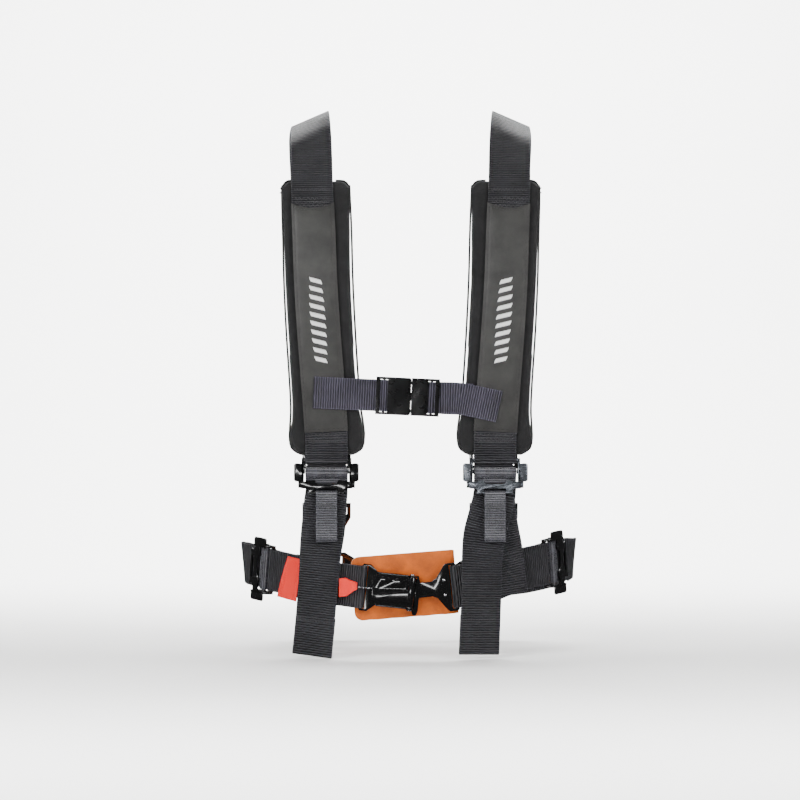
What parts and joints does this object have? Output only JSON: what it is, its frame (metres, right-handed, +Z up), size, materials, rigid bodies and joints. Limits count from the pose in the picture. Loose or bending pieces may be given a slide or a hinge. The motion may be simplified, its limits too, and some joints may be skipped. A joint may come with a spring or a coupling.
{
  "type": "racing harness",
  "caption": "Off-road racing harness with padded shoulder straps, chest strap buckle, tilt-lock adjusters and a latch-and-link lap buckle on a leather pad.",
  "frame": {"origin": "on the body centre line inside the lap loop, level with the lap buckle", "axes": "+Z up along the torso, +X to the right as seen from the front, +Y towards the wearer's back"},
  "size_m": [0.4186, 0.2823, 0.6712],
  "materials": {
    "webbing": "woven polyester webbing, black, ribbed",
    "chest_webbing": "woven polyester webbing, black",
    "red_webbing": "woven polyester webbing, red",
    "pad_felt": "brushed spacer mesh, black",
    "leatherette": "grained leatherette, dark grey, satin",
    "leather": "vegetable tanned leather, tan",
    "latch_black": "gloss black coated pressed steel",
    "black_steel": "gloss black plated pressed steel",
    "knurled_steel": "knurled black steel bar",
    "steel": "bright steel",
    "buckle_plastic": "moulded acetal, black"
  },
  "bodies": {
    "harness": {"shoulder_strap_left": "webbing", "shoulder_pad_left": "pad_felt", "pad_cover_left": "leatherette", "lower_strap_left": "webbing", "tail_left": "webbing", "rear_slide_left": "black_steel", "lap_strap_left": "webbing", "lap_rear_strap_left": "webbing", "lap_tail_left": "webbing", "chest_strap_left": "chest_webbing", "shoulder_strap_right": "webbing", "shoulder_pad_right": "pad_felt", "pad_cover_right": "leatherette", "lower_strap_right": "webbing", "tail_right": "webbing", "rear_slide_right": "black_steel", "lap_strap_right": "webbing", "lap_rear_strap_right": "webbing", "lap_tail_right": "webbing", "chest_strap_right": "chest_webbing", "latch_plate": "latch_black", "lever_pin": "steel", "lever_spring": "steel", "red_patch": "red_webbing", "leather_pad": "leather", "chest_tail_left": "chest_webbing", "chest_buckle_socket": "buckle_plastic"},
    "lever": {"latch_lever": "latch_black", "lever_wire": "steel", "red_pull_tab": "red_webbing"},
    "link": {"link": "latch_black", "link_rivets": "steel", "link_webbing": "webbing"},
    "chest_plug": {"chest_buckle_plug": "buckle_plastic", "chest_tail_right": "chest_webbing"},
    "arm_upper": {"buckle_arm_upper": "buckle_plastic"},
    "arm_lower": {"buckle_arm_lower": "buckle_plastic"},
    "adjuster_left": {"adjuster_frame_left": "black_steel"},
    "adjuster_bar_left": {"adjuster_bar_left": "knurled_steel", "bar_webbing_left": "webbing"},
    "pull_tab_left": {"pull_tab_left": "webbing"},
    "shoulder_anchor_left": {"shoulder_anchor_left": "black_steel"},
    "lap_adjuster_left": {"lap_frame_left": "black_steel"},
    "lap_bar_left": {"lap_bar_left": "knurled_steel", "lap_bar_webbing_left": "webbing"},
    "lap_anchor_left": {"lap_anchor_left": "black_steel"},
    "adjuster_right": {"adjuster_frame_right": "black_steel"},
    "adjuster_bar_right": {"adjuster_bar_right": "knurled_steel", "bar_webbing_right": "webbing"},
    "pull_tab_right": {"pull_tab_right": "webbing"},
    "shoulder_anchor_right": {"shoulder_anchor_right": "black_steel"},
    "lap_adjuster_right": {"lap_frame_right": "black_steel"},
    "lap_bar_right": {"lap_bar_right": "knurled_steel", "lap_bar_webbing_right": "webbing"},
    "lap_anchor_right": {"lap_anchor_right": "black_steel"}
  },
  "joints": [
    {"name": "lever_hinge", "type": "hinge", "parent": "harness", "child": "lever", "pos_m": [-0.00014, -0.137, -0.00272], "axis": [0.1045, 0, 0.9945], "range_deg": [0, 95]},
    {"name": "link_release", "type": "slide", "parent": "harness", "child": "link", "axis": [0.9945, 0, 0.1045], "range_m": [0, 0.0121]},
    {"name": "chest_release", "type": "slide", "parent": "harness", "child": "chest_plug", "axis": [0.999, 0, -0.0454], "range_m": [0, 0.024], "deforming": ["buckle_arm_upper", "buckle_arm_lower"]},
    {"name": "arm_upper_squeeze", "type": "hinge", "parent": "chest_plug", "child": "arm_upper", "pos_m": [0.01076, -0.1355, 0.24835], "axis": [0, -1, 0], "range_deg": [0, 12], "stiffness_Nm_per_rad": 0.4},
    {"name": "arm_lower_squeeze", "type": "hinge", "parent": "chest_plug", "child": "arm_lower", "pos_m": [0.00921, -0.1355, 0.21438], "axis": [0, 1, 0], "range_deg": [0, 12], "stiffness_Nm_per_rad": 0.4},
    {"name": "adjuster_tilt_left", "type": "hinge", "parent": "harness", "child": "adjuster_left", "pos_m": [-0.101, -0.133, 0.1555], "axis": [-1, 0, 0], "range_deg": [0, 35]},
    {"name": "adjuster_bar_slide_left", "type": "slide", "parent": "adjuster_left", "child": "adjuster_bar_left", "axis": [0, 0, 1], "range_m": [0, 0.003]},
    {"name": "pull_tab_swing_left", "type": "hinge", "parent": "adjuster_left", "child": "pull_tab_left", "pos_m": [-0.101, -0.133, 0.1165], "axis": [-1, 0, 0], "range_deg": [0, 80]},
    {"name": "lap_adjuster_tilt_left", "type": "hinge", "parent": "harness", "child": "lap_adjuster_left", "pos_m": [-0.16949, -0.07002, 0.0198], "axis": [0.0726, -0.0752, 0.9945], "range_deg": [0, 35]},
    {"name": "lap_bar_slide_left", "type": "slide", "parent": "lap_adjuster_left", "child": "lap_bar_left", "axis": [0.6909, -0.7154, -0.1045], "range_m": [0, 0.003]},
    {"name": "shoulder_anchor_swing_left", "type": "hinge", "parent": "harness", "child": "shoulder_anchor_left", "pos_m": [-0.108, 0.104, 0.092], "axis": [1, 0, 0], "range_deg": [-30, 30]},
    {"name": "lap_anchor_swing_left", "type": "hinge", "parent": "harness", "child": "lap_anchor_left", "pos_m": [-0.1, 0.124, -0.002], "axis": [0, 0, 1], "range_deg": [-25, 25]},
    {"name": "adjuster_tilt_right", "type": "hinge", "parent": "harness", "child": "adjuster_right", "pos_m": [0.101, -0.133, 0.1555], "axis": [-1, 0, 0], "range_deg": [0, 35]},
    {"name": "adjuster_bar_slide_right", "type": "slide", "parent": "adjuster_right", "child": "adjuster_bar_right", "axis": [0, 0, 1], "range_m": [0, 0.003]},
    {"name": "pull_tab_swing_right", "type": "hinge", "parent": "adjuster_right", "child": "pull_tab_right", "pos_m": [0.101, -0.133, 0.1165], "axis": [-1, 0, 0], "range_deg": [0, 80]},
    {"name": "lap_adjuster_tilt_right", "type": "hinge", "parent": "harness", "child": "lap_adjuster_right", "pos_m": [0.16449, -0.07002, 0.0278], "axis": [0.0726, 0.0752, -0.9945], "range_deg": [0, 35]},
    {"name": "lap_bar_slide_right", "type": "slide", "parent": "lap_adjuster_right", "child": "lap_bar_right", "axis": [-0.6909, -0.7154, -0.1045], "range_m": [0, 0.003]},
    {"name": "shoulder_anchor_swing_right", "type": "hinge", "parent": "harness", "child": "shoulder_anchor_right", "pos_m": [0.108, 0.104, 0.092], "axis": [1, 0, 0], "range_deg": [-30, 30]},
    {"name": "lap_anchor_swing_right", "type": "hinge", "parent": "harness", "child": "lap_anchor_right", "pos_m": [0.1, 0.124, -0.002], "axis": [0, 0, 1], "range_deg": [-25, 25]}
  ],
  "couplings": [
    {"joint": "link_release", "follows": "lever_hinge", "m_per_rad": 0.007237}
  ]
}
